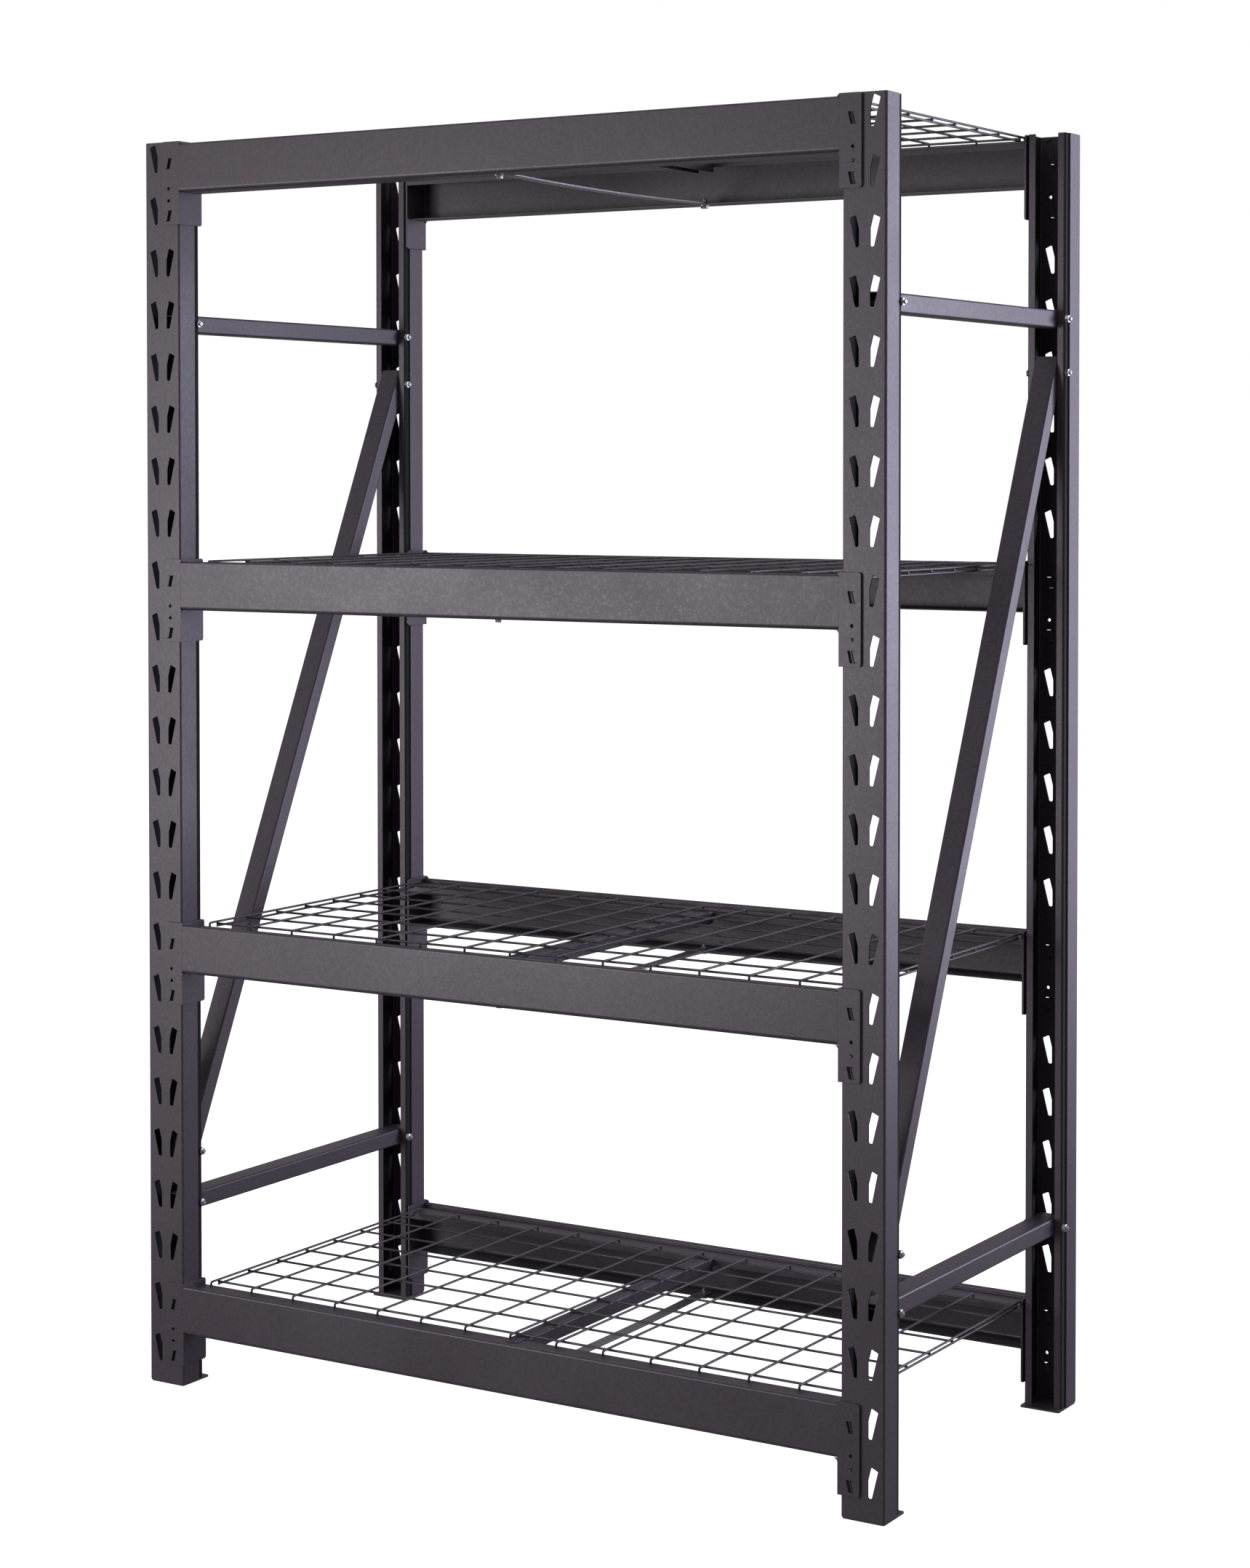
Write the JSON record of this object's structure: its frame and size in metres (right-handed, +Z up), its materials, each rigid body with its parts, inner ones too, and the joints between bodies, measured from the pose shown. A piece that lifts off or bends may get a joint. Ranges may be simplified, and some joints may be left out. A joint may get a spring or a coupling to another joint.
{
  "type": "boltless steel shelving unit",
  "caption": "Free-standing slotted-post steel shelving with hooked step beams, lift-out welded wire decks and braced side frames.",
  "frame": {"origin": "on the floor, in the middle of the unit's footprint", "axes": "+Z up, +X along the shelves to the right when facing the front, +Y from the front to the rear"},
  "size_m": [1.2254, 0.6162, 1.8288],
  "materials": {
    "coated_frame": "fine textured powder coat, dark warm grey",
    "coated_foot": "fine textured powder coat, dark warm grey",
    "coated_connector": "fine textured powder coat, dark warm grey",
    "coated_beam": "fine textured powder coat, dark warm grey",
    "coated_wire": "satin powder-coated wire",
    "galvanised_strap": "plain galvanised",
    "zinc_fastener": "bright zinc plated"
  },
  "bodies": {
    "shelving_frame": {"brace_bolts_left": "zinc_fastener", "brace_bolts_right": "zinc_fastener", "brace_nuts_left": "zinc_fastener", "brace_nuts_right": "zinc_fastener", "diagonal_brace_left": "coated_frame", "diagonal_brace_right": "coated_frame", "foot_plate_front_left": "coated_foot", "foot_plate_front_right": "coated_foot", "foot_plate_rear_left": "coated_foot", "foot_plate_rear_right": "coated_foot", "level_1_beam_front": "coated_beam", "level_1_beam_rear": "coated_beam", "level_1_centre_support": "coated_beam", "level_1_connector_front_left": "coated_connector", "level_1_connector_front_right": "coated_connector", "level_1_connector_rear_left": "coated_connector", "level_1_connector_rear_right": "coated_connector", "level_1_tie_strap": "galvanised_strap", "level_2_beam_front": "coated_beam", "level_2_beam_rear": "coated_beam", "level_2_centre_support": "coated_beam", "level_2_connector_front_left": "coated_connector", "level_2_connector_front_right": "coated_connector", "level_2_connector_rear_left": "coated_connector", "level_2_connector_rear_right": "coated_connector", "level_2_tie_strap": "galvanised_strap", "level_3_beam_front": "coated_beam", "level_3_beam_rear": "coated_beam", "level_3_centre_support": "coated_beam", "level_3_connector_front_left": "coated_connector", "level_3_connector_front_right": "coated_connector", "level_3_connector_rear_left": "coated_connector", "level_3_connector_rear_right": "coated_connector", "level_3_tie_strap": "galvanised_strap", "level_4_beam_front": "coated_beam", "level_4_beam_rear": "coated_beam", "level_4_centre_support": "coated_beam", "level_4_connector_front_left": "coated_connector", "level_4_connector_front_right": "coated_connector", "level_4_connector_rear_left": "coated_connector", "level_4_connector_rear_right": "coated_connector", "level_4_tie_strap": "galvanised_strap", "lower_brace_left": "coated_frame", "lower_brace_right": "coated_frame", "post_front_left": "coated_frame", "post_front_right": "coated_frame", "post_rear_left": "coated_frame", "post_rear_right": "coated_frame", "tie_bolts": "zinc_fastener", "tie_nuts": "zinc_fastener", "upper_brace_left": "coated_frame", "upper_brace_right": "coated_frame"},
    "top_deck": {"level_1_wire_deck": "coated_wire"},
    "upper_deck": {"level_2_wire_deck": "coated_wire"},
    "lower_deck": {"level_3_wire_deck": "coated_wire"},
    "bottom_deck": {"level_4_wire_deck": "coated_wire"}
  },
  "joints": [
    {"name": "top_deck_lift", "type": "slide", "parent": "shelving_frame", "child": "top_deck", "axis": [0, 0, 1], "range_m": [0, 0.1]},
    {"name": "upper_deck_lift", "type": "slide", "parent": "shelving_frame", "child": "upper_deck", "axis": [0, 0, 1], "range_m": [0, 0.1]},
    {"name": "lower_deck_lift", "type": "slide", "parent": "shelving_frame", "child": "lower_deck", "axis": [0, 0, 1], "range_m": [0, 0.1]},
    {"name": "bottom_deck_lift", "type": "slide", "parent": "shelving_frame", "child": "bottom_deck", "axis": [0, 0, 1], "range_m": [0, 0.1]}
  ]
}
